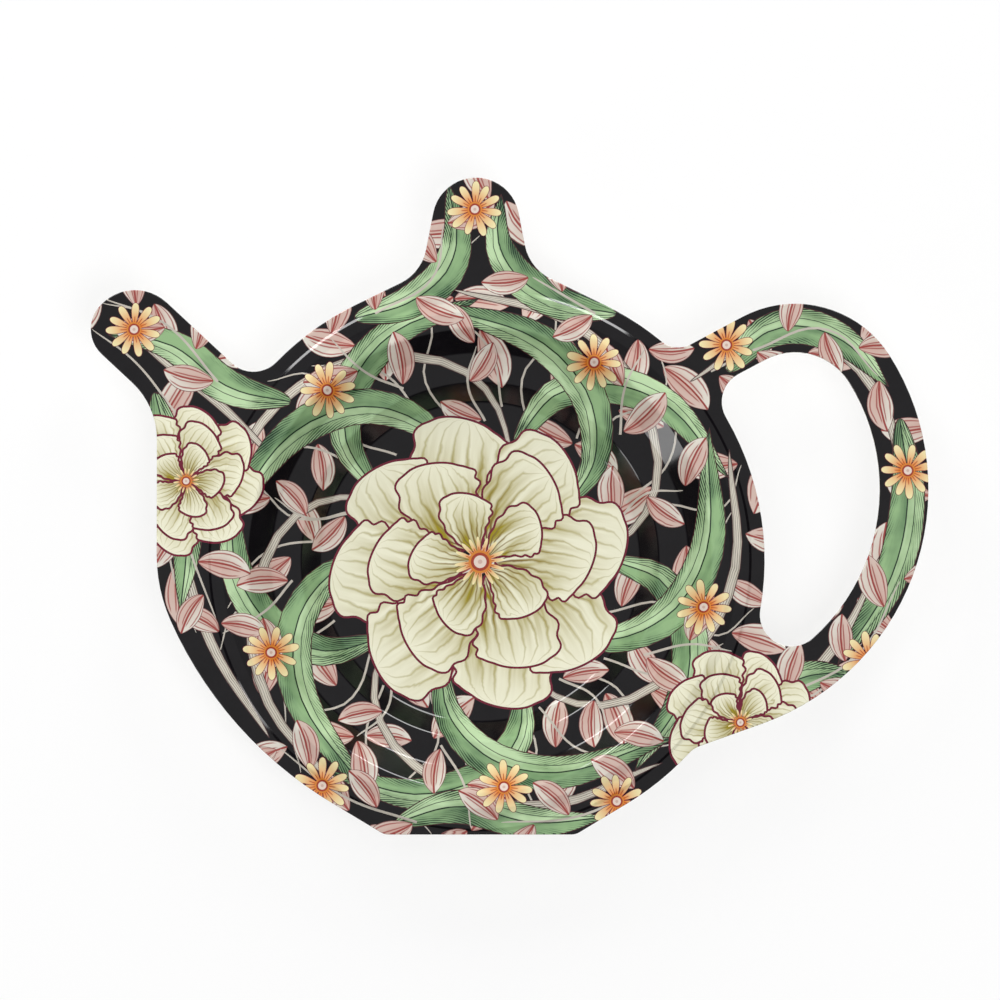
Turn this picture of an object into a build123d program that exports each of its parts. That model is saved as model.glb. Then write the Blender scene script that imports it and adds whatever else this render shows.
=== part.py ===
from build123d import *
import os
from math import cos, radians, sin, tan

# A tea bag rest pressed from melamine in the outline of a teapot, with a printed foil fused into its
# top face. Millimetres, +Z up. The origin is on the table, under the centre of the round dish. +X
# points to the handle and +Y to the lid knob.

os.makedirs("parts", exist_ok=True)

# Wall of the moulding, with its foil, and the back of its edge
wall = 2.4
under_round = 1.0

# Foot ring under the floor of the dish
foot_height = 1.0
foot_inset = 2.4
foot_width = 2.6
foot_round = 0.4

# Dish, from its floor outwards: the run and the rise of each step, and the rounds of its section
floor_radius = 30.4
step_run = 3.9
step_rise = 3.9
ledge_width = 5.3
rim_run = 4.6
rim_rise = 4.5
crest_width = 3.2
lip_run = 1.9
lip_drop = 0.8
lip_width = 1.9
crease_run = 0.55
crease_drop = 0.4
flange_width = 2.45
cove_round = 1.5
crest_round = 1.1
crease_round = 0.3

# Flat base, the lid's shoulders, and the flank under the spout
base_cut = 1.9
base_angle = 31.0
base_corner = 3.0
shoulder_angle = 26.0
flank_out = 7.4
flank_bottom = 1.0
flank_radius = 31.0
flank_turn_angle = 24.0

# Lid knob
knob_radius = 8.3
knob_out = 10.6
knob_shift = -0.8
knob_flare_angle = 11.0
knob_root_round = 9.0

# Spout, a straight bar with a rounded tip
spout_out = 10.05
spout_fall = 4.7
spout_width = 15.7
spout_angle = -43.0
spout_tip_shares = (0.57, 0.42)
spout_valley_round = 6.0
spout_root_round = 15.0

# Handle loop: a straight lead out of the dish, two arcs round the hand and a tail back into the dish
handle_upper_angle = 46.8
handle_lower_angle = -41.5
handle_slope_angle = 28.1
handle_lead_length = 14.7
handle_top_radius = 21.3
handle_top_turn_angle = 85.9
handle_back_turn_angle = 102.5
handle_width = 9.3
handle_valley_round = 5.0
gap_corner = 6.0

# Printed foil
foil_thickness = 0.25
foil_round = 0.2

overrun = 5.0

# Radii and levels of the dish, from its floor outwards
step_radius = floor_radius + step_run
ledge_radius = step_radius + ledge_width
rim_radius = ledge_radius + rim_run
crest_radius = rim_radius + crest_width
lip_radius = crest_radius + lip_run
crease_radius = lip_radius + lip_width
flange_radius = crease_radius + crease_run
dish_radius = flange_radius + flange_width
floor_level = foot_height + wall
ledge_level = floor_level + step_rise
crest_level = ledge_level + rim_rise
lip_level = crest_level - lip_drop
flange_level = lip_level - crease_drop

# Places of the outline that follow the dish
base_drop = dish_radius - base_cut
flank_reach = dish_radius + flank_out
knob_rise = dish_radius + knob_out
spout_reach = flank_reach + spout_out
spout_rise = dish_radius - spout_fall
blank_radius = 2 * dish_radius
blank_height = crest_level + overrun


# Unit vector at an angle, the one to the right of it, and where a line leaves the rim of the dish
def heading(angle):
    return Vector(cos(radians(angle)), sin(radians(angle)))


def right_of(angle):
    return Vector(sin(radians(angle)), -cos(radians(angle)))


def leaves_rim(point, direction):
    along = point.dot(direction)
    return point + direction * (-along + (along**2 - point.dot(point) + dish_radius**2) ** 0.5)


# Handle loop, whose back arc is tangent to the top arc and to the tail, and the finger gap through it
upper_root = heading(handle_upper_angle) * dish_radius
lower_root = heading(handle_lower_angle) * dish_radius
tail_angle = handle_slope_angle - handle_top_turn_angle - handle_back_turn_angle
with BuildSketch() as handle_loop:
    with BuildLine():
        lead_start = upper_root - heading(handle_slope_angle) * handle_width
        lead = PolarLine(lead_start, handle_width + handle_lead_length, handle_slope_angle)
        top = JernArc(lead @ 1, lead % 1, handle_top_radius, -handle_top_turn_angle)
        tail_side = right_of(tail_angle)
        back_side = right_of(handle_slope_angle - handle_top_turn_angle)
        back_radius = (top @ 1 - lower_root).dot(tail_side) / (1 - back_side.dot(tail_side))
        back = JernArc(top @ 1, top % 1, back_radius, -handle_back_turn_angle)
        tail = Line(back @ 1, lower_root + heading(tail_angle) * handle_width)
        Polyline(tail @ 1, (0, 0), lead @ 0)
    make_face()

with BuildSketch() as gap_outline:
    offset(handle_loop.sketch, amount=-handle_width)
    Circle(dish_radius, mode=Mode.SUBTRACT)

with BuildPart() as finger_gap:
    extrude(gap_outline.sketch, amount=blank_height)
    gap_corners = finger_gap.edges().filter_by(Axis.Z).sort_by_distance((0, 0, blank_height / 2))
    fillet(gap_corners[:2], gap_corner)

# Spout, from its tip into the dish
spout_tip = Vector(-spout_reach, spout_rise)
with BuildSketch() as spout:
    with Locations(Location((spout_tip.X, spout_tip.Y, 0), (0, 0, spout_angle))):
        Rectangle(-spout_tip.dot(heading(spout_angle)), spout_width, align=(Align.MIN, Align.CENTER))
    fillet(spout.vertices().sort_by(Axis.Y)[-1], spout_width * spout_tip_shares[0])
    fillet(spout.vertices().sort_by(Axis.X)[0], spout_width * spout_tip_shares[1])

# Flank between the spout and the dish, whose lower arc is tangent to the dish
flank_top = spout_rise + spout_out * tan(radians(spout_angle))
with BuildSketch() as flank:
    with BuildLine():
        straight = Line((-flank_reach, flank_top), (-flank_reach, flank_bottom))
        upper = JernArc(straight @ 1, straight % 1, flank_radius, flank_turn_angle)
        bend = upper @ 1
        bend_gap = bend.dot(heading(flank_turn_angle)) + dish_radius
        lower_radius = (dish_radius**2 - bend.dot(bend)) / (2 * bend_gap)
        lower_centre = bend + heading(flank_turn_angle) * lower_radius
        landing = lower_centre.normalized() * -dish_radius
        TangentArc(bend, landing, tangent=upper % 1)
        Polyline(landing, (0, 0), straight @ 0)
    make_face()

# Lid: two shoulders tangent to the dish, and a knob with flared sides
with BuildSketch() as lid:
    shoulder = radians(shoulder_angle)
    Polygon(
        (-dish_radius * sin(shoulder), dish_radius * cos(shoulder)),
        (0, 0),
        (dish_radius * sin(shoulder), dish_radius * cos(shoulder)),
        (0, dish_radius / cos(shoulder)),
        align=None,
    )
    flare = radians(knob_flare_angle)
    knob_foot = knob_rise / 2
    foot_half = knob_radius / cos(flare) + knob_foot * tan(flare)
    with Locations((knob_shift, knob_rise)):
        Circle(knob_radius)
        Polygon(
            (knob_radius * cos(flare), knob_radius * sin(flare)),
            (-knob_radius * cos(flare), knob_radius * sin(flare)),
            (-foot_half, -knob_foot),
            (foot_half, -knob_foot),
            align=None,
        )

# Flat base, with a straight side tangent to the dish at each end
with BuildSketch() as base:
    side = radians(base_angle)
    side_x = dish_radius * sin(side)
    side_y = dish_radius * cos(side)
    corner_x = side_x - (base_drop - side_y) / tan(side)
    Polygon(
        (-side_x, -side_y),
        (-corner_x, -base_drop),
        (corner_x, -base_drop),
        (side_x, -side_y),
        (0, 0),
        align=None,
    )

with BuildSketch() as teapot:
    Circle(dish_radius)
    with Locations((0, -base_drop)):
        Rectangle(2 * dish_radius, dish_radius, align=(Align.CENTER, Align.MAX), mode=Mode.SUBTRACT)
    add(base.sketch)
    add(lid.sketch)
    add(flank.sketch)
    add(spout.sketch)
    add(handle_loop.sketch)

# Upright prism of the outline, with its hollow corners and its base corners rounded
spout_upper = spout_tip - right_of(spout_angle) * (spout_width / 2)
spout_root_drop = spout_width / 2 / cos(radians(spout_angle))
corner_rounds = (
    (Vector(-flank_reach, flank_top - spout_root_drop), spout_root_round),
    (leaves_rim(spout_upper, -heading(spout_angle)), spout_valley_round),
    (Vector(knob_shift - knob_radius, dish_radius), knob_root_round),
    (Vector(knob_shift + knob_radius, dish_radius), knob_root_round),
    (upper_root, handle_valley_round),
    (lower_root, handle_valley_round),
    (Vector(-corner_x, -base_drop), base_corner),
    (Vector(corner_x, -base_drop), base_corner),
)

with BuildPart() as prism:
    extrude(teapot.sketch, amount=blank_height)
    for corner, radius in corner_rounds:
        upright = prism.edges().filter_by(Axis.Z)
        fillet(upright.sort_by_distance((corner.X, corner.Y, blank_height / 2))[0], radius)
    add(finger_gap.part, mode=Mode.SUBTRACT)

# Section of the dish and flange: the line of the top face and the wall under it
dish_line = (
    (0, floor_level),
    (floor_radius, floor_level),
    (step_radius, ledge_level),
    (ledge_radius, ledge_level),
    (rim_radius, crest_level),
    (crest_radius, crest_level),
)
step_rounds = (cove_round, crest_round, cove_round, crest_round, crest_round)
lip_line = (
    (lip_radius, lip_level),
    (crease_radius, lip_level),
    (flange_radius, flange_level),
    (blank_radius, flange_level),
)
lip_rounds = (crest_round, crease_round, crease_round)
plain_line = ((lip_radius, flange_level), (blank_radius, flange_level))

with BuildSketch(Plane.XZ) as foil_section:
    with BuildLine():
        top_line = FilletPolyline(*dish_line, *lip_line, radius=step_rounds + lip_rounds)
        offset(top_line, amount=foil_thickness, side=Side.RIGHT, closed=True)
    make_face()

with BuildSketch(Plane.XZ) as body_section:
    with BuildLine():
        top_line = FilletPolyline(
            *dish_line, *lip_line, radius=step_rounds + lip_rounds, mode=Mode.PRIVATE
        )
        seat_line = offset(
            top_line, amount=foil_thickness, side=Side.RIGHT, closed=False, mode=Mode.ADD
        )
        back_line = FilletPolyline(
            *dish_line, *plain_line, radius=step_rounds + (crest_round,), mode=Mode.PRIVATE
        )
        under_line = offset(back_line, amount=wall, side=Side.RIGHT, closed=False, mode=Mode.ADD)
        Line(seat_line @ 0, under_line @ 0)
        Line(seat_line @ 1, under_line @ 1)
    make_face()

with BuildSketch(Plane.XZ) as foot_section:
    with Locations((floor_radius - foot_inset, 0)):
        Rectangle(foot_width, foot_height + wall / 2, align=(Align.CENTER, Align.MIN))
    fillet(foot_section.vertices().group_by(Axis.Z)[0], foot_round)

# Edges of the flange at a level, at the rim and round the finger gap, without the rings of the dish
def flange_edges(shape, level, reach):
    ring = shape.edges().filter_by_position(Axis.Z, level - reach, level + reach)
    centre = Vertex(0, 0, level)
    return ring.filter_by(lambda edge: edge.distance_to(centre) > (flange_radius + base_drop) / 2)


# Moulded body, with the back of its edge rounded
with BuildPart() as moulded_body:
    revolve(body_section.sketch, axis=Axis.Z)
    revolve(foot_section.sketch, axis=Axis.Z)
    add(prism.part, mode=Mode.INTERSECT)
    fillet(flange_edges(moulded_body, flange_level - wall, under_round / 2), under_round)

# Printed foil with its clear glaze, over the whole top face to the edge
with BuildPart() as printed_foil:
    revolve(foil_section.sketch, axis=Axis.Z)
    add(prism.part, mode=Mode.INTERSECT)
    fillet(flange_edges(printed_foil, flange_level, foil_round / 2), foil_round)

for node, name in ((moulded_body, "moulded_body"), (printed_foil, "printed_foil")):
    node.part.label = name
    export_step(node.part, f"parts/{name}.step")
    print(name, len(node.solids()), "solid", len(node.faces()), "faces", round(node.part.volume), "mm3")
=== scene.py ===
from math import cos, pi, radians, sin

import bpy
import numpy as np
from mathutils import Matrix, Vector
from mathutils.geometry import delaunay_2d_cdt


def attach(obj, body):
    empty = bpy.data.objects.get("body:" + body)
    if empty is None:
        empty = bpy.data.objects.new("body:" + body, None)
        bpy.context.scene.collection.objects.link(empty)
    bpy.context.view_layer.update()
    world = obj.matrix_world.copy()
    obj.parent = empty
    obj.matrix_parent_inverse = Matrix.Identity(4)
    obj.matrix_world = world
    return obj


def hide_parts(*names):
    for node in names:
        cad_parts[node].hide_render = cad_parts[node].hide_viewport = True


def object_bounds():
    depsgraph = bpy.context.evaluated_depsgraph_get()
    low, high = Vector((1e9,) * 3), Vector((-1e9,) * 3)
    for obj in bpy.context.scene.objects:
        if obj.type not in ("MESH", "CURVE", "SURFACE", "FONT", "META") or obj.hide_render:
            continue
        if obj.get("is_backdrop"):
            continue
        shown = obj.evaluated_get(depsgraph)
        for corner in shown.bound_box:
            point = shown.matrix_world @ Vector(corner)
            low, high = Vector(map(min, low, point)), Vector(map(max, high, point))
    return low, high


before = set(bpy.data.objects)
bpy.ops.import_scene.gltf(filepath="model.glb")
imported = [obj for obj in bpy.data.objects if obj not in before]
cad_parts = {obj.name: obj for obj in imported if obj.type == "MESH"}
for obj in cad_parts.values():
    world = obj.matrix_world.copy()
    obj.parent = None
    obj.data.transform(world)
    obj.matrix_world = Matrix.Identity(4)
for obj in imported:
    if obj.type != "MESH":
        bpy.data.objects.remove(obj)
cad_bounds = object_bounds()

# Moulded body. The real piece is off-white melamine, pressed in one steel mould: a stepped dish with a
# flat teapot-shaped flange round it and a foot ring under it. It keeps the CAD's shape. Only its back
# and its thin edge show, glossy and slightly mottled by the cellulose filler.
dull_melamine = "e9e3d2"
light_melamine = "f5f1e4"
fleck_scale = 900.0
cloud_scale = 60.0
melamine_roughness = (0.16, 0.24)
melamine_ior = 1.55


# Colour of an sRGB hex code in linear light
def linear(code):
    value = np.array([int(code[i : i + 2], 16) for i in (0, 2, 4)]) / 255
    return tuple(np.where(value > 0.04045, ((value + 0.055) / 1.055) ** 2.4, value / 12.92)) + (1.0,)


# New node, with its settings, and its inputs as values or as links from other nodes
def put(tree, kind, inputs=(), **settings):
    node = tree.nodes.new(kind)
    for name, value in settings.items():
        setattr(node, name, value)
    for name, value in dict(inputs).items():
        if isinstance(value, bpy.types.NodeSocket):
            tree.links.new(value, node.inputs[name])
        else:
            node.inputs[name].default_value = value
    return node


def calc(tree, operation, *values):
    return put(tree, "ShaderNodeMath", dict(enumerate(values)), operation=operation).outputs[0]


def blend(tree, factor, *colors):
    node = put(tree, "ShaderNodeMix", {"Factor": factor}, data_type="RGBA")
    for name, color in zip("AB", colors):
        if isinstance(color, bpy.types.NodeSocket):
            tree.links.new(color, node.inputs[name])
        else:
            node.inputs[name].default_value = linear(color)
    return node.outputs["Result"]


def new_material(name):
    material = bpy.data.materials.new(name)
    material.use_nodes = True
    tree = material.node_tree
    tree.nodes.clear()
    shader = put(tree, "ShaderNodeBsdfPrincipled")
    output = put(tree, "ShaderNodeOutputMaterial")
    tree.links.new(shader.outputs["BSDF"], output.inputs["Surface"])
    return material, tree, shader


def glaze(tree, shader, noise, roughness, ior):
    low, high = roughness
    gloss = put(tree, "ShaderNodeMapRange", {"Value": noise, "To Min": low, "To Max": high})
    tree.links.new(gloss.outputs["Result"], shader.inputs["Roughness"])
    shader.inputs["IOR"].default_value = ior


melamine, tree, shader = new_material("melamine")
place = put(tree, "ShaderNodeTexCoord").outputs["Object"]
flecks = put(tree, "ShaderNodeTexNoise", {"Vector": place, "Scale": fleck_scale, "Detail": 4.0})
cloud = put(tree, "ShaderNodeTexNoise", {"Vector": place, "Scale": cloud_scale, "Detail": 2.0})
mottle = calc(tree, "MULTIPLY", flecks.outputs["Fac"], cloud.outputs["Fac"])
tree.links.new(blend(tree, mottle, dull_melamine, light_melamine), shader.inputs["Base Color"])
glaze(tree, shader, cloud.outputs["Fac"], melamine_roughness, melamine_ior)
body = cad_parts["moulded_body"]
body.data.materials.clear()
body.data.materials.append(melamine)

# Printed foil. The real piece is a sheet of melamine-soaked paper, printed and then fused over the whole
# top face under a clear resin glaze. Here it is one thin skin whose triangles follow the edges of every
# printed shape, so the print stays sharp. Its sizes and the places of its print are in millimetres.
flange_level = 10.6
foil_depth = 0.25
edge_round = 0.2
edge_round_steps = 4
seat_gap = 0.01
mm_per_m = 1000

# Each leaf, petal and stem is a blade: a flat strip along a path, which widens from its base and closes
# to its tip. These are its inputs, in metres and shares, and a form changes those that it names.
blade_form = {
    "Sections": 24,
    "Half Width": 0.0,
    "Width Share": 0.54,
    "Base Power": 0.66,
    "Tip Power": 0.85,
    "Fullness": 1.8,
    "Wave": 0.0,
    "Waves": 4.0,
}

# Salts that set apart the draws of one seed
turn_salt = 5.0
size_salt = 9.0
head_salt = 40.0
whole_turn = 6.3


def new_group(name, numbers):
    group = bpy.data.node_groups.new(name, "GeometryNodeTree")
    group.interface.new_socket("Paths", in_out="INPUT", socket_type="NodeSocketGeometry")
    for label, value in numbers.items():
        kind = "NodeSocketInt" if isinstance(value, int) else "NodeSocketFloat"
        group.interface.new_socket(label, in_out="INPUT", socket_type=kind).default_value = value
    group.interface.new_socket("Material", in_out="INPUT", socket_type="NodeSocketMaterial")
    group.interface.new_socket("Geometry", in_out="OUTPUT", socket_type="NodeSocketGeometry")
    return group, put(group, "NodeGroupInput").outputs


# Random number for each point, from the float's own Min, Max and Value sockets
def chance(group, low, high, seed, salt):
    numbers = {"ID": put(group, "GeometryNodeInputIndex").outputs[0], 2: low, 3: high}
    node = put(group, "FunctionNodeRandomValue", numbers, data_type="FLOAT")
    group.links.new(calc(group, "ADD", seed, salt), node.inputs["Seed"])
    return node.outputs[1]


def vector(tree, x=0.0, y=0.0, z=0.0):
    return put(tree, "ShaderNodeCombineXYZ", {"X": x, "Y": y, "Z": z}).outputs[0]


# Paths become blades by the Blade tree, and every tree ends in real geometry with its ink
def close_group(group, given, geometry, widen=True):
    if widen:
        flat = put(group, "GeometryNodeRealizeInstances", {"Geometry": geometry}).outputs[0]
        widened = put(group, "GeometryNodeGroup", node_tree=bpy.data.node_groups["Blade"])
        group.links.new(flat, widened.inputs["Paths"])
        for label in [*blade_form, "Material"]:
            group.links.new(given[label], widened.inputs[label])
        geometry = widened.outputs[0]
    whole = put(group, "GeometryNodeRealizeInstances", {"Geometry": geometry}).outputs[0]
    inked = put(group, "GeometryNodeSetMaterial", {"Geometry": whole, "Material": given["Material"]})
    put(group, "NodeGroupOutput", {"Geometry": inked.outputs[0]})


# Blade tree: sections that stand closer at both ends of the path, each as wide as the blade is there
blade, given = new_group("Blade", blade_form)
spot = put(blade, "GeometryNodeCurveOfPoint").outputs
step = calc(blade, "DIVIDE", spot["Index in Curve"], calc(blade, "SUBTRACT", given["Sections"], 1.0))
swing = calc(blade, "COSINE", calc(blade, "MULTIPLY", step, pi))
share = calc(blade, "SUBTRACT", 0.5, calc(blade, "MULTIPLY", swing, 0.5))
even = put(blade, "GeometryNodeResampleCurve", {"Curve": given["Paths"], "Count": given["Sections"]})
found = put(
    blade,
    "GeometryNodeSampleCurve",
    {"Curves": given["Paths"], "Factor": share, "Curve Index": spot["Curve Index"]},
    use_all_curves=False,
)
placed = {"Geometry": even.outputs[0], "Position": found.outputs["Position"]}
spaced = put(blade, "GeometryNodeSetPosition", placed)
length = put(blade, "GeometryNodeSplineLength").outputs["Length"]
size = calc(blade, "ADD", given["Half Width"], calc(blade, "MULTIPLY", given["Width Share"], length))
grown = calc(blade, "POWER", share, given["Base Power"])
left_over = calc(blade, "SUBTRACT", 1.0, calc(blade, "POWER", share, given["Fullness"]))
closed = calc(blade, "POWER", calc(blade, "MAXIMUM", left_over, 0.0), given["Tip Power"])
phase = calc(blade, "MULTIPLY", calc(blade, "MULTIPLY", share, given["Waves"]), 2 * pi)
ripple = calc(blade, "ADD", 1.0, calc(blade, "MULTIPLY", given["Wave"], calc(blade, "SINE", phase)))
base_half = calc(blade, "MULTIPLY", size, grown)
width = calc(blade, "MULTIPLY", base_half, calc(blade, "MULTIPLY", closed, ripple))
line = put(blade, "GeometryNodeCurvePrimitiveLine", {"Start": (-1, 0, 0), "End": (1, 0, 0)})
level = put(blade, "GeometryNodeSetCurveNormal", {"Curve": spaced.outputs[0]}, mode="Z_UP")
sheet = put(
    blade,
    "GeometryNodeCurveToMesh",
    {"Curve": level.outputs[0], "Profile Curve": line.outputs[0], "Scale": width},
)
close_group(blade, given, sheet.outputs[0], widen=False)

# Sprig tree: leaves along a stem, to the left and the right in turn
leaf_base = 0.08
sprig_form = {"Spacing": 0.005, "Leaf": 0.011, "Splay": 0.85, "Curl": 0.12, "Jitter": 0.12, "Seed": 1}
sprig, given = new_group("Sprig", {**sprig_form, **blade_form})
stations = {"Curve": given["Paths"], "Length": given["Spacing"]}
spots = put(sprig, "GeometryNodeCurveToPoints", stations, mode="LENGTH")
tangent = put(sprig, "ShaderNodeSeparateXYZ", {"Vector": spots.outputs["Tangent"]}).outputs
along = calc(sprig, "ARCTAN2", tangent["Y"], tangent["X"])
odd = calc(sprig, "MODULO", put(sprig, "GeometryNodeInputIndex").outputs[0], 2.0)
side = calc(sprig, "SUBTRACT", 1.0, calc(sprig, "MULTIPLY", odd, 2.0))
sway = calc(sprig, "MULTIPLY", chance(sprig, -2.0, 2.0, given["Seed"], turn_salt), given["Jitter"])
splayed = calc(sprig, "ADD", along, calc(sprig, "MULTIPLY", side, given["Splay"]))
turn = calc(sprig, "ADD", splayed, sway)
swell = calc(sprig, "MULTIPLY", chance(sprig, -1.0, 1.0, given["Seed"], size_salt), given["Jitter"])
scale = calc(sprig, "MULTIPLY", given["Leaf"], calc(sprig, "ADD", 1.0, swell))
path = put(sprig, "GeometryNodeCurveQuadraticBezier", {"Start": (leaf_base, 0, 0), "End": (1, 0, 0)})
sprig.links.new(vector(sprig, 0.5, given["Curl"]), path.inputs["Middle"])
leaves = put(
    sprig,
    "GeometryNodeInstanceOnPoints",
    {
        "Points": spots.outputs["Points"],
        "Instance": path.outputs[0],
        "Rotation": vector(sprig, 0.0, 0.0, turn),
        "Scale": vector(sprig, scale, calc(sprig, "MULTIPLY", scale, side), scale),
    },
)
close_group(sprig, given, leaves.outputs[0])

# Flower tree: a ring of petals round each point, each ring turned by chance
flower_form = {
    "Petals": 8,
    "Start": 0.001,
    "Reach": 0.02,
    "Curl": 0.06,
    "Turn": 0.0,
    "Jitter": 0.05,
    "Seed": 1,
}
petal_sway = 1.4
flower, given = new_group("Flower", {**flower_form, **blade_form})
ring = put(flower, "GeometryNodePoints", {"Count": given["Petals"]})
slice_angle = calc(flower, "DIVIDE", 2 * pi, given["Petals"])
even_turn = calc(flower, "MULTIPLY", put(flower, "GeometryNodeInputIndex").outputs[0], slice_angle)
sway = calc(flower, "MULTIPLY", chance(flower, -1.0, 1.0, given["Seed"], turn_salt), given["Jitter"])
set_turn = calc(flower, "ADD", even_turn, given["Turn"])
turn = calc(flower, "ADD", set_turn, calc(flower, "MULTIPLY", sway, petal_sway))
swell = calc(flower, "MULTIPLY", chance(flower, -1.0, 1.0, given["Seed"], size_salt), given["Jitter"])
scale = calc(flower, "ADD", 1.0, swell)
path = put(flower, "GeometryNodeCurveQuadraticBezier")
flower.links.new(vector(flower, given["Start"]), path.inputs["Start"])
middle = calc(flower, "MULTIPLY", calc(flower, "ADD", given["Start"], given["Reach"]), 0.5)
bend = calc(flower, "MULTIPLY", given["Curl"], given["Reach"])
flower.links.new(vector(flower, middle, bend), path.inputs["Middle"])
flower.links.new(vector(flower, given["Reach"]), path.inputs["End"])
petals = put(
    flower,
    "GeometryNodeInstanceOnPoints",
    {
        "Points": ring.outputs[0],
        "Instance": path.outputs[0],
        "Rotation": vector(flower, 0.0, 0.0, turn),
        "Scale": vector(flower, scale, scale, scale),
    },
)
head_turn = chance(flower, 0.0, whole_turn, given["Seed"], head_salt)
heads = put(
    flower,
    "GeometryNodeInstanceOnPoints",
    {
        "Points": given["Paths"],
        "Instance": petals.outputs[0],
        "Rotation": vector(flower, 0.0, 0.0, head_turn),
    },
)
close_group(flower, given, heads.outputs[0])

# Scatter tree: leaves all over a face, no two closer than the gap
scatter_form = {"Gap": 0.007, "Leaf": 0.009, "Jitter": 0.15, "Seed": 1}
densest = 60000.0
leaf_bow = 0.12
scatter, given = new_group("Scatter", {**scatter_form, **blade_form})
spots = put(
    scatter,
    "GeometryNodeDistributePointsOnFaces",
    {"Mesh": given["Paths"], "Distance Min": given["Gap"], "Density Max": densest, "Seed": given["Seed"]},
    distribute_method="POISSON",
)
swell = calc(scatter, "MULTIPLY", chance(scatter, -1.0, 1.0, given["Seed"], size_salt), given["Jitter"])
scale = calc(scatter, "MULTIPLY", given["Leaf"], calc(scatter, "ADD", 1.0, swell))
arc = {"Start": (-0.5, 0, 0), "Middle": (0, leaf_bow, 0), "End": (0.5, 0, 0)}
path = put(scatter, "GeometryNodeCurveQuadraticBezier", arc)
turn = chance(scatter, 0.0, whole_turn, given["Seed"], turn_salt)
leaves = put(
    scatter,
    "GeometryNodeInstanceOnPoints",
    {
        "Points": spots.outputs["Points"],
        "Instance": path.outputs[0],
        "Rotation": vector(scatter, 0.0, 0.0, turn),
        "Scale": vector(scatter, scale, scale, scale),
    },
)
close_group(scatter, given, leaves.outputs[0])

# Inks, each with its own line work, under one clear glaze. The mesh gives every point its place on its
# blade, in millimetres: how far along, how far across, and the blade's half width there. It also gives
# how far along as a share, and one number for the whole blade.
glaze_roughness = (0.06, 0.11)
glaze_ior = 1.5
line_softness = 0.04
grain_scale = 1500.0
wash_scale = 260.0
patch_scale = 110.0
shake = 1.2
least_half = 0.01

# Streaks: how fast they change along the blade, across it, and from blade to blade
streak_rates = (0.07, 0.55, 30.0)


class Ink:
    def __init__(self, name):
        self.material, self.tree, self.shader = new_material(name)
        spot = self.given("blade", "Vector")
        self.along, self.across, self.half = put(self.tree, "ShaderNodeSeparateXYZ", {0: spot}).outputs
        self.reach = self.given("reach", "Fac")
        self.tone = self.given("tone", "Fac")
        place = put(self.tree, "ShaderNodeTexCoord").outputs["Object"]
        self.grain = self.noise(place, grain_scale)
        self.wash = self.noise(place, wash_scale)
        self.patch = self.noise(place, patch_scale)
        ways = (self.along, self.across, self.tone)
        flow = [self.times(way, rate) for way, rate in zip(ways, streak_rates)]
        self.streak = self.noise(vector(self.tree, *flow), 1.0)
        self.off = calc(self.tree, "ABSOLUTE", self.across)
        self.ratio = self.over(self.off, self.larger(self.half, least_half))
        self.shaky = self.times(self.less(self.wash, 0.5), shake)

    def given(self, name, output):
        return put(self.tree, "ShaderNodeAttribute", attribute_name=name).outputs[output]

    def noise(self, place, scale):
        inputs = {"Vector": place, "Scale": scale, "Detail": 3.0}
        return put(self.tree, "ShaderNodeTexNoise", inputs).outputs["Fac"]

    def plus(self, a, b):
        return calc(self.tree, "ADD", a, b)

    def less(self, a, b):
        return calc(self.tree, "SUBTRACT", a, b)

    def times(self, a, b):
        return calc(self.tree, "MULTIPLY", a, b)

    def over(self, a, b):
        return calc(self.tree, "DIVIDE", a, b)

    def power(self, a, b):
        return calc(self.tree, "POWER", a, b)

    def larger(self, a, b):
        return calc(self.tree, "MAXIMUM", a, b)

    def apart(self, a, b):
        return calc(self.tree, "ABSOLUTE", self.less(a, b))

    def blend(self, factor, *colors):
        return blend(self.tree, factor, *colors)

    # 1 where the value is under the limit, with a soft edge
    def under(self, value, limit):
        high, low = self.plus(limit, line_softness), self.less(limit, line_softness)
        inputs = {"Value": value, "From Min": high, "From Max": low}
        return put(self.tree, "ShaderNodeMapRange", inputs).outputs["Result"]

    def stripes(self, value, period, thickness):
        cycle = calc(self.tree, "FRACT", self.over(value, period))
        return self.under(self.times(self.apart(cycle, 0.5), period), thickness)

    # Across the blade as a share of its half width, more or less shaky, for lines that follow its sides
    def fanned(self, shakiness):
        return self.plus(self.over(self.across, self.half), self.times(self.shaky, shakiness))

    # 1 on the right half of the blade, up to a more or less shaky middle
    def right_half(self, shakiness):
        return self.under(self.plus(self.across, self.times(self.shaky, shakiness)), 0.0)

    def finish(self, color, outline=None, width=0.0):
        if outline:
            color = self.blend(self.under(self.less(self.half, self.off), width), color, outline)
        self.tree.links.new(color, self.shader.inputs["Base Color"])
        glaze(self.tree, self.shader, self.wash, glaze_roughness, glaze_ior)
        return self.material


# Charcoal ground
ground_colors = ("0a080b", "141215")
ink = Ink("ink_ground")
ground = ink.finish(ink.blend(ink.plus(ink.grain, ink.shaky), *ground_colors))

# Wine-red contour lines
contour_colors = ("551224", "7c243a")
ink = Ink("ink_contour")
contour = ink.finish(ink.blend(ink.wash, *contour_colors))

# Hair-thin grey stems
hair_colors = ("a7a096", "ccc5b9")
ink = Ink("ink_hair")
hair = ink.finish(ink.blend(ink.wash, *hair_colors))

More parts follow.
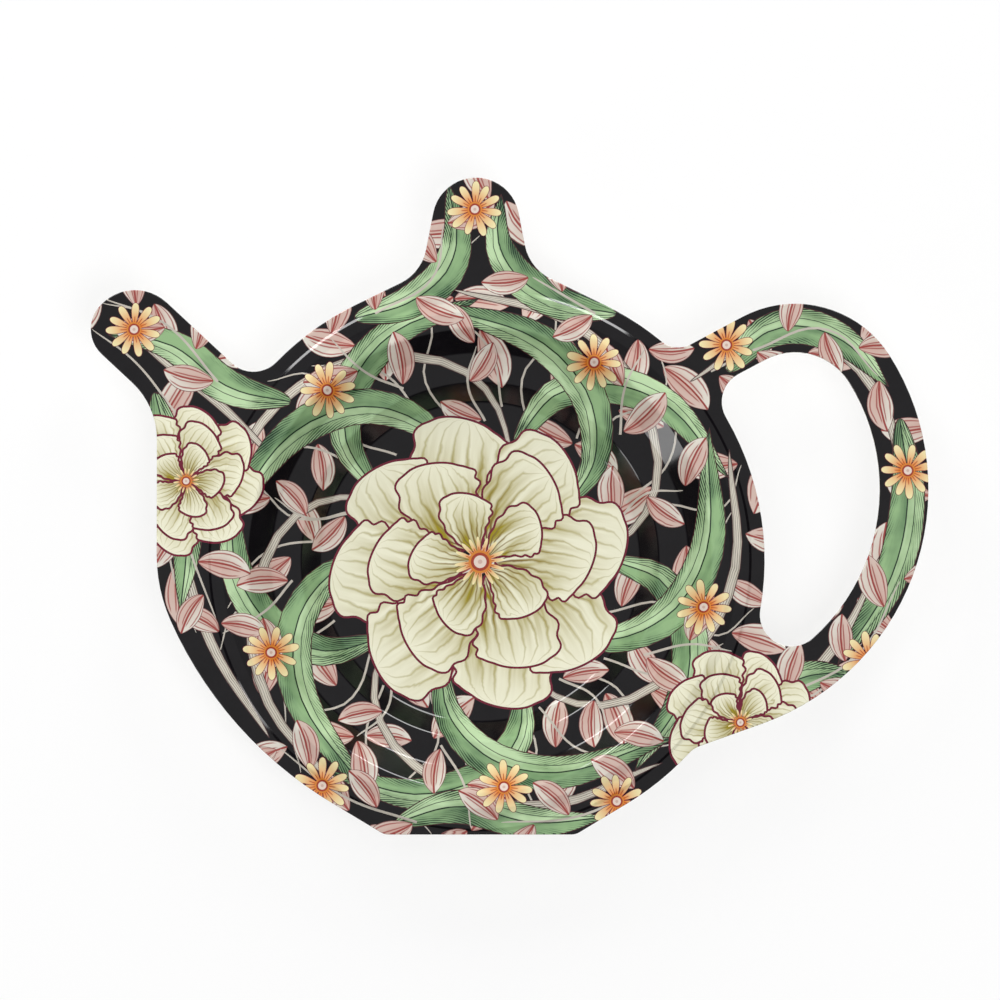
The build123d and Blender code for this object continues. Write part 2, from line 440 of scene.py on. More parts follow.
# Pale stems, darker to their sides, with fine lines along them
stem_colors = ("d1cbbd", "aba192")
stem_line_color = "665d55"
stem_edge_color = "44292c"
stem_rounding = 2.0
stem_line_period = 0.42
stem_line_width = 0.1
stem_line_shake = 0.5
stem_edge = 0.16
ink = Ink("ink_stem")
pale = ink.blend(ink.power(ink.ratio, stem_rounding), *stem_colors)
line_half = ink.times(ink.wash, stem_line_width)
lines = ink.stripes(ink.fanned(stem_line_shake), stem_line_period, line_half)
stem = ink.finish(ink.blend(lines, pale, stem_line_color), stem_edge_color, stem_edge)

# Green strap leaves: a light and a dark half, washed in streaks and patches, a rib and a finer one beside
# it, and slanted hatching that thickens towards the sides, the ends and the darker patches
light_half_colors = ("739366", "bad5a8")
dark_half_colors = ("4e6e4e", "90b281")
strap_line_color = "203026"
strap_edge_color = "442628"
streak_contrast = 1.6
patch_contrast = 2.2
patch_darkening = 1.3
middle_shake = 0.4
hatch_period = 1.75
hatch_slant = 4.2
hatch_width = 0.55
hatch_at_ends = 1.1
hatch_in_light = 0.9
rib_half = 0.13
side_rib_half = 0.07
side_rib_share = 0.42
strap_edge = 0.19
ink = Ink("ink_strap")
patchy = ink.less(ink.times(ink.patch, patch_contrast), patch_darkening)
lit = ink.plus(ink.times(ink.streak, streak_contrast), patchy)
light_half = ink.blend(lit, *light_half_colors)
dark_half = ink.blend(lit, *dark_half_colors)
leafy = ink.blend(ink.right_half(middle_shake), light_half, dark_half)
slant = ink.plus(ink.less(ink.along, ink.times(ink.off, hatch_slant)), ink.shaky)
at_ends = ink.times(ink.apart(ink.reach, 0.5), hatch_at_ends)
press = ink.less(ink.plus(ink.ratio, at_ends), ink.times(lit, hatch_in_light))
hatch = ink.stripes(slant, hatch_period, ink.times(press, hatch_width))
rib = ink.under(ink.off, rib_half)
side_rib = ink.under(ink.apart(ink.across, ink.times(ink.half, side_rib_share)), side_rib_half)
lines = ink.larger(hatch, ink.larger(rib, side_rib))
strap = ink.finish(ink.blend(lines, leafy, strap_line_color), strap_edge_color, strap_edge)

# Blush leaves: warmer at the base and on one half, with veins that follow the sides and stop short of
# the tip
blush_colors = ("dad7cc", "b78376")
rosy_color = "c09085"
vein_color = "964440"
leaf_edge_color = "764948"
blush_spread = 1.1
least_blush = 0.3
rosy_strength = 0.5
rosy_shake = 0.3
vein_period = 0.5
vein_half = 0.045
vein_shake = 0.1
vein_reach = 0.8
leaf_rib_half = 0.19
leaf_edge = 0.13
ink = Ink("ink_leaf")
at_base = ink.times(ink.less(1.0, ink.reach), ink.less(blush_spread, ink.ratio))
blush = ink.blend(ink.times(at_base, ink.plus(least_blush, ink.wash)), *blush_colors)
blush = ink.blend(ink.times(ink.right_half(rosy_shake), rosy_strength), blush, rosy_color)
veins = ink.stripes(ink.fanned(vein_shake), vein_period, vein_half)
veins = ink.times(veins, ink.under(ink.reach, vein_reach))
rib = ink.under(ink.off, leaf_rib_half)
leaf = ink.finish(ink.blend(ink.larger(veins, rib), blush, vein_color), leaf_edge_color, leaf_edge)

# Cream petals: olive streaks from the heart, and rays that turn from wine-red to olive and thin out
petal_colors = ("e9e7cf", "97891d")
ray_colors = ("9b8f37", "561728")
olive_contrast = 5.0
olive_lightening = 1.6
least_olive = 0.12
olive_power = 1.15
ray_period = 0.31
ray_width = 0.17
ray_shake = 0.12
ray_reach = 0.86
ink = Ink("ink_petal")
inward = ink.less(1.0, ink.reach)
olive = ink.larger(ink.less(ink.times(ink.streak, olive_contrast), olive_lightening), least_olive)
cream = ink.blend(ink.times(ink.power(inward, olive_power), olive), *petal_colors)
ray_half = ink.times(ink.less(ray_reach, ink.reach), ink.times(ink.wash, ray_width))
rays = ink.stripes(ink.fanned(ray_shake), ray_period, ray_half)
ray_color = ink.blend(ink.times(inward, inward), *ray_colors)
petal = ink.finish(ink.blend(rays, cream, ray_color))

# Yellow daisy petals: orange at the base, with a short dash up the middle
daisy_colors = ("e9e0ad", "d77626")
dash_color = "b25328"
orange_reach = 1.05
orange_power = 1.4
least_orange = 0.7
dash_half = 0.08
dash_reach = 0.45
ink = Ink("ink_daisy")
orange = ink.power(ink.less(orange_reach, ink.reach), orange_power)
yellow = ink.blend(ink.times(orange, ink.plus(least_orange, ink.wash)), *daisy_colors)
dash = ink.times(ink.under(ink.off, dash_half), ink.under(ink.reach, dash_reach))
daisy = ink.finish(ink.blend(dash, yellow, dash_color))

# Eyes: rings of colour round the middle of a round blade, each up to the next one's start
eye_rings = ((0.0, "c9ab9f"), (0.2, "deccc0"), (0.55, "9b3d2b"), (0.8, "cd7f35"))
ink = Ink("ink_eye")
lengthwise = ink.less(ink.times(ink.reach, 2.0), 1.0)
lengthwise = ink.times(lengthwise, lengthwise)
crosswise = ink.times(ink.times(ink.ratio, ink.ratio), ink.less(1.0, lengthwise))
from_middle = calc(ink.tree, "SQRT", ink.plus(lengthwise, crosswise))
rings = put(ink.tree, "ShaderNodeValToRGB", {"Fac": from_middle})
rings.color_ramp.interpolation = "CONSTANT"
for position, code in eye_rings:
    rings.color_ramp.elements.new(position).color = linear(code)
for spare in (0, -1):
    rings.color_ramp.elements.remove(rings.color_ramp.elements[spare])
eye = ink.finish(rings.outputs["Color"])

inks = [ground, contour, hair, stem, strap, leaf, petal, daisy, eye]
blades = []
path_steps = 24


# The same blade grown outwards all round, to print a contour line under it
def grown_by(strip, width):
    loop = np.concatenate((strip[:, 0], strip[::-1, 1]))
    forward = np.roll(loop, -1, 0) - np.roll(loop, 1, 0)
    forward /= np.maximum(np.hypot(*forward.T), 1e-6)[:, None]
    side = np.sign((loop[:, 0] * np.roll(loop[:, 1], -1) - loop[:, 1] * np.roll(loop[:, 0], -1)).sum())
    loop = loop + np.column_stack((forward[:, 1], -forward[:, 0])) * side * width
    return np.stack((loop[: len(strip)], loop[len(strip) :][::-1]), 1)


# Draws one group's blades along paths, round points or over a mesh, in a form that sets some of the
# tree's inputs, and keeps the blades, in millimetres, in the order in which they are printed
def draw(group, paths, ink, form, contour_width=0.0):
    label = f"{group.name} {len(blades)}"
    if isinstance(paths, bpy.types.Mesh):
        data = paths
    elif group is flower:
        data = bpy.data.meshes.new(label)
        data.from_pydata([(x / mm_per_m, y / mm_per_m, 0) for x, y in paths], [], [])
    else:
        data = bpy.data.curves.new(label, "CURVE")
        data.dimensions = "3D"
        for path in paths:
            spline = data.splines.new("BEZIER")
            spline.bezier_points.add(len(path) - 1)
            spline.resolution_u = path_steps
            for knot, (x, y) in zip(spline.bezier_points, path):
                knot.co = (x / mm_per_m, y / mm_per_m, 0)
                knot.handle_left_type = knot.handle_right_type = "AUTO"
    drawing = bpy.data.objects.new(label, data)
    bpy.context.scene.collection.objects.link(drawing)
    modifier = drawing.modifiers.new("print", "NODES")
    modifier.node_group = group
    inputs = {**blade_form, **form, "Material": ink}
    for item in group.interface.items_tree:
        if item.in_out == "INPUT" and item.name in inputs:
            modifier[item.identifier] = inputs[item.name]
    finished = drawing.evaluated_get(bpy.context.evaluated_depsgraph_get())
    made = bpy.data.meshes.new_from_object(finished)
    corners = np.zeros(len(made.vertices) * 3)
    made.vertices.foreach_get("co", corners)
    for strip in corners.reshape(-1, inputs["Sections"], 2, 3)[..., :2] * mm_per_m:
        if contour_width:
            blades.append((inks.index(contour), grown_by(strip, contour_width)))
        blades.append((inks.index(ink), strip))
    bpy.data.objects.remove(drawing)


def polar(reach, angle):
    return reach * cos(radians(angle)), reach * sin(radians(angle))


# The print repeats five times round the dish, but for its hair-thin stems
repeats = 5
repeat_angle = 360 // repeats
hair_repeats = 12
hair_repeat_angle = 360 // hair_repeats

# Ground cover: small leaves all over, mostly hidden, and fine stems between them
field_low = (-80, -55)
field_high = (90, 76)
ground_leaf_form = {"Gap": 0.0098, "Leaf": 0.0102, "Seed": 11}
hair_form = {"Half Width": 0.00022, "Width Share": 0.0, "Base Power": 0.0, "Tip Power": 0.3}
field_corners = [
    (field_low[0] / mm_per_m, field_low[1] / mm_per_m, 0),
    (field_high[0] / mm_per_m, field_low[1] / mm_per_m, 0),
    (field_high[0] / mm_per_m, field_high[1] / mm_per_m, 0),
    (field_low[0] / mm_per_m, field_high[1] / mm_per_m, 0),
]
field = bpy.data.meshes.new("field")
field.from_pydata(field_corners, [], [(0, 1, 2, 3)])
draw(scatter, field, leaf, ground_leaf_form)
hairs = []
for i in range(hair_repeats):
    a = hair_repeat_angle * i + 8
    hairs.append([polar(26, a), polar(36, a + 9), polar(47, a + 4), polar(53, a + 12)])
    hairs.append([polar(30, a + 14), polar(41, a + 20), polar(49, a + 33)])
hairs += [
    [(-44, 30), (-54, 37), (-64, 47), (-72, 49)],
    [(-58, 28), (-66, 38), (-74, 44)],
    [(-50, 26), (-58, 14), (-59, 0), (-54, -14)],
    [(44, 36), (58, 42), (72, 37), (81, 20)],
    [(50, -30), (66, -24), (77, -6), (82, 8)],
    [(-20, 48), (-8, 55), (0, 62)],
    [(18, 50), (8, 54), (2, 60)],
]
draw(blade, hairs, hair, hair_form)

# Thick pale stems that wind round the ledge and out along the spout and the handle
stem_form = {
    "Half Width": 0.0014,
    "Width Share": 0.0,
    "Base Power": 0.4,
    "Tip Power": 0.6,
    "Fullness": 4.0,
}
stems = []
for i in range(repeats):
    a = repeat_angle * i
    inner = [polar(18, a - 6), polar(34, a + 18), polar(42, a + 40)]
    stems.append([*inner, polar(48, a + 66), polar(52, a + 96)])
stems += [
    [(-38, 18), (-50, 30), (-60, 38), (-69, 46)],
    [(40, 34), (53, 41.5), (66, 41), (76, 31), (81, 14)],
    [(42, -34), (58, -26), (70, -13), (77, 2)],
    [(-58, 26), (-57.5, 8), (-52, -14), (-40, -34)],
]
draw(blade, stems, stem, stem_form)

# Strap leaves: ten that cross as they swirl out from behind the bloom, and single ones elsewhere
strap_form = {
    "Half Width": 0.0062,
    "Width Share": 0.0,
    "Base Power": 0.45,
    "Tip Power": 0.9,
    "Fullness": 2.0,
}
straps = []
for i in range(repeats):
    a = repeat_angle * i + 40
    straps.append([polar(24, a + 34), polar(36, a + 24), polar(45, a + 4), polar(50, a - 22)])
for i in range(repeats):
    a = repeat_angle * i + 40
    straps.append([polar(20, a - 8), polar(31, a + 4), polar(41, a + 26), polar(50.5, a + 62)])
straps += [
    [(-36, 30), (-48, 33), (-59, 41), (-71, 43)],
    [(-62, 32), (-59, 20), (-56, 6), (-57, -10)],
    [(47, 36), (56, 44), (67, 43), (78, 33)],
    [(46, -34), (55, -26), (63, -22), (72, -22)],
    [(80, 27), (81.5, 12), (78, -4), (68, -20)],
    [(-24, 46), (-12, 50), (-5, 58), (-6, 72)],
    [(26, 47), (13, 50), (4, 59), (4, 70)],
    [(-16, -50), (-4, -47), (10, -50), (24, -49)],
]
draw(blade, straps, strap, strap_form)

# Blush leaves in sprigs, on hair-thin stems
spray_stem_form = {**hair_form, "Half Width": 0.00024}
spray_leaf_form = {**sprig_form, "Spacing": 0.0062, "Leaf": 0.0104, "Seed": 4}
sprays = []
for i in range(repeats):
    a = repeat_angle * i + 16
    sprays.append([polar(27, a), polar(34, a + 6), polar(41, a + 3)])
    sprays.append([polar(36, a + 26), polar(43, a + 34), polar(51, a + 36)])
sprays += [
    [(-50, 34), (-60, 45), (-72, 50)],
    [(-60, 18), (-56, 4), (-50, -12)],
    [(52, 40), (66, 44), (76, 35)],
    [(58, -26), (72, -18), (80, -4)],
    [(-20, 47), (-9, 54), (-7, 64)],
    [(22, 47), (10, 54)],
    [(30, -44), (18, -49), (4, -50)],
    [(-12, -50), (-26, -45), (-38, -36)],
]
draw(blade, sprays, hair, spray_stem_form)
draw(sprig, sprays, leaf, spray_leaf_form)

# Daisies: a ring of narrow petals round an eye
daisy_ring = 43.5
daisy_contour = 0.1
daisy_form = {
    "Petals": 11,
    "Start": 0.0004,
    "Reach": 0.0052,
    "Curl": 0.0,
    "Seed": 3,
    "Width Share": 0.21,
    "Base Power": 0.7,
    "Tip Power": 0.5,
    "Fullness": 4.0,
}
eye_radius = 0.0014
eye_form = {
    "Petals": 1,
    "Start": -eye_radius,
    "Reach": eye_radius,
    "Curl": 0.0,
    "Jitter": 0.0,
    "Sections": 20,
    "Width Share": 1.0,
    "Base Power": 0.5,
    "Tip Power": 0.5,
    "Fullness": 1.0,
}
posies = [polar(daisy_ring, repeat_angle * i + 60) for i in range(repeats)]
posies += [(-66, 44), (-1, 67), (47, 41), (81.5, 17), (74, -19), (-30, -43), (26, -46)]
draw(flower, posies, daisy, daisy_form, daisy_contour)
draw(flower, posies, eye, eye_form)

# Blooms: one in the well, and two cut off by the flank and by the foot of the handle. Each has a centre,
# a scale and a seed, three rings of petals, and a ring of stamens round an eye.
blooms = (((0.0, 0.0), 1.0, 2), ((-56.0, 15.0), 0.5, 5), ((49.5, -31.0), 0.5, 7))
petal_contour = 0.42
petal_form = {
    "Curl": 0.16,
    "Sections": 52,
    "Base Power": 0.75,
    "Tip Power": 0.5,
    "Fullness": 4.5,
    "Waves": 5.0,
}
petal_rings = (
    # petals, start and reach in millimetres, width share, wave, turn
    (8, 4.0, 27.0, 0.56, 0.06, 0.0),
    (6, 3.0, 20.5, 0.62, 0.06, 0.35),
    (5, 2.0, 13.0, 0.62, 0.05, 0.1),
)
stamen_start = 0.0012
stamen_reach = 0.0048
stamen_form = {
    "Petals": 16,
    "Curl": 0.0,
    "Width Share": 0.13,
    "Base Power": 0.4,
    "Tip Power": 0.5,
    "Fullness": 3.0,
}
bloom_eye_radius = 0.0022
for centre, grow, seed in blooms:
    for petals, start, reach, width_share, wave, turn in petal_rings:
        own_form = {
            "Petals": petals,
            "Start": start * grow / mm_per_m,
            "Reach": reach * grow / mm_per_m,
            "Width Share": width_share,
            "Wave": wave,
            "Turn": turn,
            "Seed": seed,
        }
        draw(flower, [centre], petal, {**petal_form, **own_form}, petal_contour)
    own_form = {"Start": stamen_start * grow, "Reach": stamen_reach * grow, "Seed": seed}
    draw(flower, [centre], daisy, {**stamen_form, **own_form})
    own_form = {"Start": -bloom_eye_radius * grow, "Reach": bloom_eye_radius * grow}
    draw(flower, [centre], eye, {**eye_form, **own_form})

# Section of the foil's top face, read off its CAD node: the radius and the level of each ring of the dish,
# and the slope there. A ring between a straight stretch and a round has the slope of the straight one.
dish_reach = 52.2
upward = 0.2
upright = 0.1
least_ring_points = 30
flange_rings = [60.0, 120.0]
straight_ratio = 2.2
cad_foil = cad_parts["printed_foil"].data
cad_points = np.zeros(len(cad_foil.vertices) * 3)
cad_foil.vertices.foreach_get("co", cad_points)
cad_points = cad_points.reshape(-1, 3) * mm_per_m
cad_slope = np.array([polygon.normal[:] for polygon in cad_foil.polygons])[:, 2]
cad_corners = np.array([polygon.vertices[:] for polygon in cad_foil.polygons])
facing_up = np.zeros(len(cad_points), bool)
facing_up[cad_corners[cad_slope > upward]] = True
dish = cad_points[facing_up & (np.hypot(cad_points[:, 0], cad_points[:, 1]) < dish_reach)]
reaches = np.hypot(dish[:, 0], dish[:, 1]).round(3)
radii, first, seen = np.unique(reaches, return_index=True, return_counts=True)
radii, levels = radii[seen > least_ring_points], dish[first[seen > least_ring_points], 2]
radii, levels = np.append(0.0, radii), np.append(levels[0], levels)
radii, levels = np.append(radii, flange_rings), np.append(levels, [flange_level] * 2)
runs, rises = np.diff(radii), np.diff(levels)
spans = np.hypot(runs, rises)
tilts = np.arctan2(rises, runs)
tilt = np.zeros(len(radii))
for i in range(1, len(radii) - 1):
    before, after = spans[i - 1], spans[i]
    if max(before, after) > straight_ratio * min(before, after):
        tilt[i] = tilts[i - 1] if before > after else tilts[i]
    else:
        tilt[i] = (tilts[i - 1] * after + tilts[i] * before) / (before + after)


# Closed loops of directed edges
def chains(pairs):
    follow = {a: b for a, b in pairs}
    loops = []
    while follow:
        start = next(iter(follow))
        loop = [start]
        while follow[loop[-1]] != start:
            loop.append(follow.pop(loop[-1]))
        follow.pop(loop[-1])
        loops.append(loop)
    return loops


# Outline of the foil and of its finger gap: the lower edge of the CAD node's upright wall
wall_level = flange_level - foil_depth
level_tolerance = 0.004
wall_pairs = []
for triangle in cad_corners[np.abs(cad_slope) < upright]:
    for a, b in zip(triangle, np.roll(triangle, -1)):
        pair = cad_points[[a, b]]
        low = np.abs(pair[:, 2] - wall_level).max() < level_tolerance
        if low and np.hypot(*pair[:, :2].T).min() > dish_reach:
            wall_pairs.append((tuple(pair[0, :2].round(4)), tuple(pair[1, :2].round(4))))
outlines = sorted((np.array(loop) for loop in chains(wall_pairs)), key=len, reverse=True)

# Cut of the foil's plan, in millimetres
points_per_radius = 3.6
merge_distance = 1e-3
least_blade_edge = 0.002


# Cuts the plan of the foil into triangles along its own outline, the rings of the dish and every blade.
# The first shape is the outline and the second the finger gap, and the last shape over a triangle owns it.
def cut_plan(shapes):
    points, edges, faces = [], [], []
    for shape in shapes:
        faces.append(list(range(len(points), len(points) + len(shape))))
        points.extend(Vector(spot) for spot in shape)
    for ring in radii[1:-2]:
        start, count = len(points), int(ring * points_per_radius)
        for i in range(count):
            points.append(Vector(polar(ring, 360 * i / count)))
            edges.append((start + i, start + (i + 1) % count))
    cut = delaunay_2d_cdt(points, edges, faces, 1, merge_distance, True)
    spots, _, triangles, sources, _, owners = cut
    inside = [(t, max(o)) for t, o in zip(triangles, owners) if 0 in o and 1 not in o]
    kept, tops = [t for t, _ in inside], [top for _, top in inside]
    return np.array([spot[:] for spot in spots]), kept, tops, sources


def anticlockwise(shape):
    area = (shape[:, 0] * np.roll(shape[:, 1], -1) - shape[:, 1] * np.roll(shape[:, 0], -1)).sum()
    return shape[:: int(np.sign(area))]


def top_levels(spots):
    return np.interp(np.hypot(spots[:, 0], spots[:, 1]), radii, levels)


def top_normals(spots):
    away = np.hypot(spots[:, 0], spots[:, 1])
    angle = np.interp(away, radii, tilt)
    outward = spots / np.maximum(away, 1e-6)[:, None]
    return np.column_stack((-outward * np.sin(angle)[:, None], np.cos(angle)))


# The flat top ends at the start of the rounded edge, which lies in by its radius along the mitres
mitres = []
for loop in outlines:
    forward = np.roll(loop, -1, 0) - loop
    forward /= np.hypot(*forward.T)[:, None]
    right = np.column_stack((forward[:, 1], -forward[:, 0]))
    before = np.roll(right, 1, 0)
    mitres.append((right + before) / (1 + (right * before).sum(1))[:, None])
tops = [loop - mitre * edge_round for loop, mitre in zip(outlines, mitres)]
shapes = [anticlockwise(loop) for loop in tops]
for _, strip in blades:
    shape = anticlockwise(np.concatenate((strip[:, 0], strip[::-1, 1])))
    shapes.append(shape[np.hypot(*(shape - np.roll(shape, 1, 0)).T) > least_blade_edge])
spots, triangles, owners, _ = cut_plan(shapes)

# Place of each corner on its blade: along it, across it, the half width there, and the share of its length
blade_at = np.zeros((len(triangles), 3, 3))
reach_at = np.zeros((len(triangles), 3))
tone_at = np.zeros(len(triangles))
styles = np.zeros(len(triangles), int)
tone_seed = 8
dice = np.random.default_rng(tone_seed)
order = np.argsort(owners, kind="stable")
shares = np.split(order, np.flatnonzero(np.diff(np.array(owners)[order])) + 1)
triangles = np.array(triangles)
for members in shares:
    owner = owners[members[0]] - len(outlines)
    if owner < 0:
        continue
    styles[members], strip = blades[owner]
    tone_at[members] = dice.random()
    middle = strip.mean(1)
    half = np.hypot(*(strip[:, 1] - strip[:, 0]).T) / 2
    pieces = np.diff(middle, axis=0)
    lengths = np.maximum(np.hypot(*pieces.T), 1e-9)
    starts = np.concatenate(([0], np.cumsum(lengths)))
    from_start = spots[triangles[members]][:, :, None] - middle[:-1]
    t = np.clip((from_start * pieces).sum(-1) / lengths**2, 0, 1)
    off = from_start - t[..., None] * pieces
    near = (off**2).sum(-1).argmin(-1)
    t = np.take_along_axis(t, near[..., None], -1)[..., 0]
    off = np.take_along_axis(off, near[..., None, None], 2)[..., 0, :]
    ahead = (pieces / lengths[:, None])[near]
    along = starts[near] + t * lengths[near]
    blade_at[members, :, 0] = along
    blade_at[members, :, 1] = off[..., 1] * ahead[..., 0] - off[..., 0] * ahead[..., 1]
    blade_at[members, :, 2] = half[near] * (1 - t) + half[near + 1] * t
    reach_at[members] = along / starts[-1]

# Top face
places = [np.column_stack((spots, top_levels(spots)))]
total = len(spots)
polygons, normals, blade_of, reach_of = [], [], [], []
up = top_normals(spots)
for triangle, b, r in zip(triangles, blade_at, reach_at):
    polygons.append(tuple(triangle))
    normals.extend(up[triangle])
    blade_of.extend(b)
    reach_of.extend(r)
ink_of, tone_of = list(styles), list(tone_at)

# Rounded edge and the short wall under it, which go on with the print of the triangle that they start from
sides = {}
for n, triangle in enumerate(triangles):
    for c in range(3):
        sides[(triangle[c], triangle[(c + 1) % 3])] = (n, c)
rims = {pair: where for pair, where in sides.items() if pair[::-1] not in sides}
flat_tops, flat_mitres = np.concatenate(tops), np.concatenate(mitres)
nexts = np.concatenate([np.roll(np.arange(len(loop)), -1) + k for loop, k in zip(tops, (0, len(tops[0])))])
bottoms = []
for loop in chains(rims):
    rim = spots[loop]
    piece = flat_tops[nexts] - flat_tops
    from_start = rim[:, None] - flat_tops
    t = np.clip((from_start * piece).sum(-1) / (piece**2).sum(-1), 0, 1)
    near = ((from_start - t[..., None] * piece) ** 2).sum(-1).argmin(-1)
    t = t[np.arange(len(loop)), near][:, None]
    mitre = flat_mitres[near] * (1 - t) + flat_mitres[nexts[near]] * t
    unit = mitre / np.hypot(*mitre.T)[:, None]
    rows, facing = [np.array(loop)], [np.tile((0.0, 0.0, 1.0), (len(loop), 1))]
    for step in range(1, edge_round_steps + 2):
        angle = radians(90 * (1 - min(step, edge_round_steps) / edge_round_steps))
        height = flange_level - edge_round + edge_round * sin(angle)
        if step > edge_round_steps:
            height = wall_level + seat_gap
        outer = rim + mitre * edge_round * cos(angle)
        places.append(np.column_stack((outer, np.full(len(loop), height))))
        rows.append(total + np.arange(len(loop)))
        facing.append(np.column_stack((unit * cos(angle), np.full(len(loop), sin(angle)))))
        total += len(loop)
    for i in range(len(loop)):
        j = (i + 1) % len(loop)
        n, c = rims[(loop[i], loop[j])]
        b, r = blade_at[n][[c, (c + 1) % 3]], reach_at[n][[c, (c + 1) % 3]]
        for step in range(edge_round_steps + 1):
            polygons.append((rows[step][i], rows[step + 1][i], rows[step + 1][j], rows[step][j]))
            normals.extend((facing[step][i], facing[step + 1][i], facing[step + 1][j], facing[step][j]))
            blade_of.extend((b[0], b[0], b[1], b[1]))
            reach_of.extend((r[0], r[0], r[1], r[1]))
            ink_of.append(styles[n])
            tone_of.append(tone_at[n])
    bottoms.append((places[-1][:, :2], rows[-1]))

# Underside, on the body, from the lower edges of the wall inwards
bottoms.sort(key=lambda item: -len(item[0]))
bottoms[1] = [column[::-1] for column in bottoms[1]]
under, under_triangles, _, sources = cut_plan([item[0] for item in bottoms])
known = np.concatenate([item[1] for item in bottoms])
index = np.zeros(len(under), int)
extra = []
for n, source in enumerate(sources):
    on_edge = [s for s in source if s < len(known)]
    if on_edge:
        index[n] = known[on_edge[0]]
    else:
        index[n] = total + len(extra)
        extra.append(n)
extra = under[extra]
places.append(np.column_stack((extra, top_levels(extra) - foil_depth + seat_gap)))
down = -top_normals(under)
for triangle in under_triangles:
    flipped = triangle[::-1]
    polygons.append(tuple(index[flipped]))
    normals.extend(down[flipped])
    blade_of.extend(np.zeros((3, 3)))
    reach_of.extend((0.0, 0.0, 0.0))
    ink_of.append(0)
    tone_of.append(0.0)

# The skin itself, without the points of the cut that lie beyond the outline
used, corner_points = np.unique(np.concatenate(polygons), return_inverse=True)
polygon_ends = np.cumsum([len(polygon) for polygon in polygons])
polygons = [points.tolist() for points in np.split(corner_points, polygon_ends[:-1])]
skin = bpy.data.meshes.new("printed_foil_skin")
skin.from_pydata(np.concatenate(places)[used] / mm_per_m, [], polygons)
skin.update()
for ink in inks:
    skin.materials.append(ink)
skin.polygons.foreach_set("material_index", np.array(ink_of, np.int32))
for name, kind, domain, key, values in (
    ("blade", "FLOAT_VECTOR", "CORNER", "vector", blade_of),
    ("reach", "FLOAT", "CORNER", "value", reach_of),
    ("tone", "FLOAT", "FACE", "value", tone_of),
):
    skin.attributes.new(name, kind, domain).data.foreach_set(key, np.array(values, np.float32).ravel())
skin.shade_smooth()
skin.normals_split_custom_set([tuple(normal) for normal in normals])
foil = bpy.data.objects.new("printed_foil_skin", skin)
bpy.context.scene.collection.objects.link(foil)
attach(foil, "root")
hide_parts("printed_foil")

# Stage: a plain white table. Seen by the camera, or in a glossy or clear surface, it glows to pure white,
# but for a little near the rest, where it keeps the soft shadow.
table_half = 3
table_drop = 0.0002
table_white = 0.9
table_roughness = 0.8
shadow_reach = 0.09
shadow_end = 0.3
glow_near_rest = 0.75
white = (1, 1, 1, 1)
table_corners = [(-table_half, -table_half, 0), (table_half, -table_half, 0)]
table_corners += [(table_half, table_half, 0), (-table_half, table_half, 0)]
table = bpy.data.meshes.new("table")
table.from_pydata(table_corners, [], [(0, 1, 2, 3)])
floor = bpy.data.objects.new("table", table)
bpy.context.scene.collection.objects.link(floor)
floor.location.z = -table_drop
paper, tree, shader = new_material("table")
shader.inputs["Base Color"].default_value = (table_white, table_white, table_white, 1)
shader.inputs["Roughness"].default_value = table_roughness
glow = put(tree, "ShaderNodeEmission", {"Color": white, "Strength": 1.0})
rays = put(tree, "ShaderNodeLightPath").outputs
seen = calc(tree, "MAXIMUM", rays["Is Camera Ray"], rays["Is Glossy Ray"])
seen = calc(tree, "MAXIMUM", seen, rays["Is Transmission Ray"])
here = put(tree, "ShaderNodeTexCoord").outputs["Object"]
away = put(tree, "ShaderNodeVectorMath", {0: here}, operation="LENGTH").outputs["Value"]
fade = {"Value": away, "From Min": shadow_reach, "From Max": shadow_end, "To Min": glow_near_rest}
glowing = put(tree, "ShaderNodeMapRange", fade)
choice = put(tree, "ShaderNodeMixShader", {0: calc(tree, "MULTIPLY", seen, glowing.outputs[0])})
tree.links.new(shader.outputs["BSDF"], choice.inputs[1])
tree.links.new(glow.outputs["Emission"], choice.inputs[2])
output = next(node for node in tree.nodes if node.type == "OUTPUT_MATERIAL")
tree.links.new(choice.outputs[0], output.inputs["Surface"])
table.materials.append(paper)
floor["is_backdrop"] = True

# World: white behind the rest, and for all other rays a soft light that is brighter overhead, so the
# flats of the glaze mirror more light than the slopes
sky_low = 0.35
sky_high = 0.85
sky_dim = 0.02
sky_bright = 0.42
world = bpy.data.worlds.new("studio")
bpy.context.scene.world = world
world.use_nodes = True
tree = world.node_tree
tree.nodes.clear()
seen = put(tree, "ShaderNodeLightPath").outputs["Is Camera Ray"]
plain = put(tree, "ShaderNodeBackground", {"Color": white, "Strength": 1.0})
view = put(tree, "ShaderNodeTexCoord").outputs["Generated"]
height = put(tree, "ShaderNodeSeparateXYZ", {0: view}).outputs["Z"]
overhead = put(
    tree,
    "ShaderNodeMapRange",
    {"Value": height, "From Min": sky_low, "From Max": sky_high, "To Min": sky_dim, "To Max": sky_bright},
    interpolation_type="SMOOTHSTEP",
)
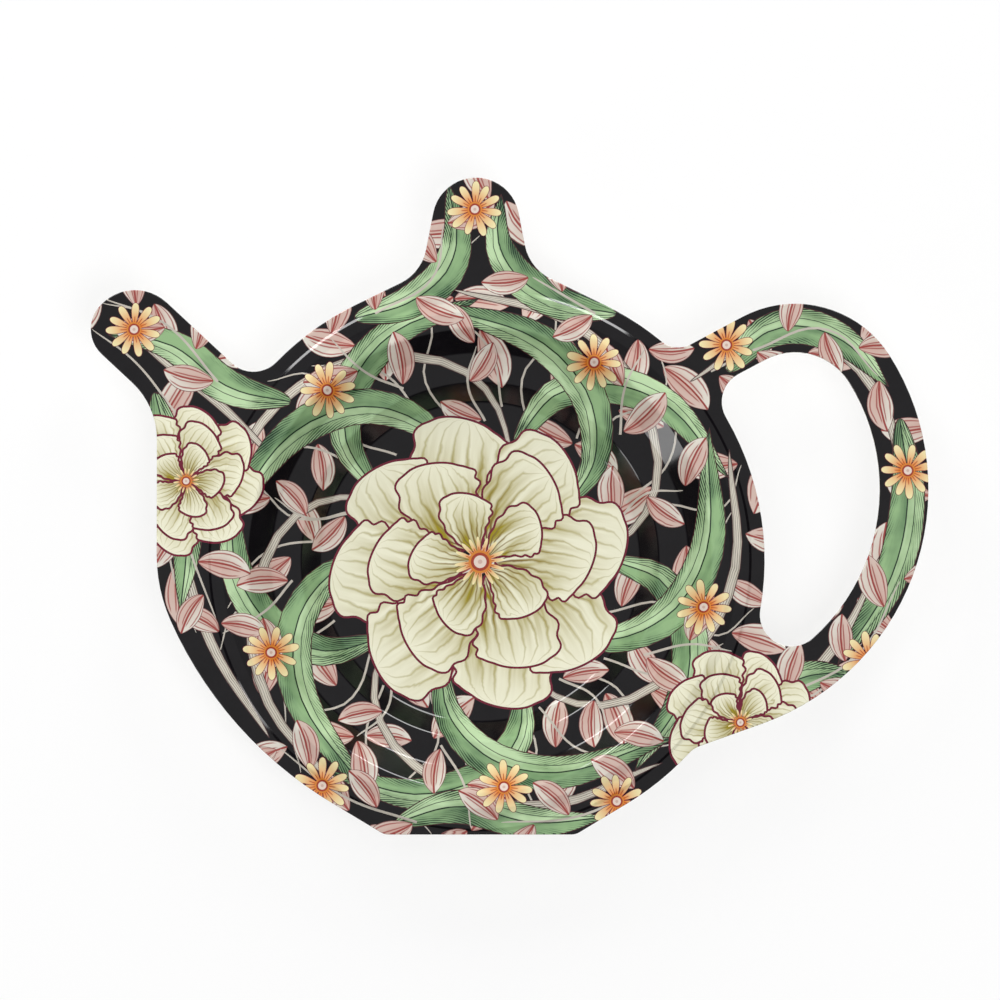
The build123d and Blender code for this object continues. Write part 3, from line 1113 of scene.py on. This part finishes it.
dim = put(tree, "ShaderNodeBackground", {"Color": white, "Strength": overhead.outputs["Result"]})
choice = put(tree, "ShaderNodeMixShader", {0: seen, 1: dim.outputs[0], 2: plain.outputs[0]})
put(tree, "ShaderNodeOutputWorld", {"Surface": choice.outputs[0]})


# Soft boxes. Each stands on its own side of the rest, at a height, and faces the middle of it. Two light
# it without showing in the glaze, and three low strips show there as highlights.
def soft_box(name, side, away, height, width, tall, power, mirrored=True):
    data = bpy.data.lights.new(name, "AREA")
    data.shape = "RECTANGLE"
    data.size, data.size_y = width, tall
    data.energy = power
    lamp = bpy.data.objects.new(name, data)
    bpy.context.scene.collection.objects.link(lamp)
    lamp.location = (away * cos(radians(side)), away * sin(radians(side)), height)
    lamp.rotation_euler = (-lamp.location).to_track_quat("-Z", "Y").to_euler()
    lamp.visible_glossy = mirrored


soft_box("key", side=-50, away=0.8, height=1.3, width=0.9, tall=0.9, power=11.0, mirrored=False)
soft_box("fill", side=140, away=0.8, height=1.3, width=0.9, tall=0.9, power=4.8, mirrored=False)
soft_box("far right strip", side=68, away=1.0, height=0.3, width=0.32, tall=0.5, power=5)
soft_box("far left strip", side=124, away=1.0, height=0.3, width=0.32, tall=0.5, power=5)
soft_box("left strip", side=210, away=1.0, height=0.3, width=0.2, tall=0.5, power=1.5)

# Camera, almost straight above
view_width = 0.1905
centre = Vector((0.0038, 0.0114, 0.0105))
distance = 1.6
elevation = radians(86.5)
sensor_width = 36.0
clip_start = 0.05
camera_data = bpy.data.cameras.new("camera")
camera_data.sensor_width = sensor_width
camera_data.lens = sensor_width * distance / view_width
camera_data.clip_start = clip_start
camera = bpy.data.objects.new("camera", camera_data)
bpy.context.scene.collection.objects.link(camera)
back = Vector((0, -cos(elevation), sin(elevation)))
camera.location = centre + back * distance
camera.rotation_euler = (-back).to_track_quat("-Z", "Y").to_euler()
bpy.context.scene.camera = camera
bpy.context.scene.view_settings.view_transform = "Standard"

size = {"cad": [list(corner) for corner in cad_bounds], "visual": [list(corner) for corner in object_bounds()]}
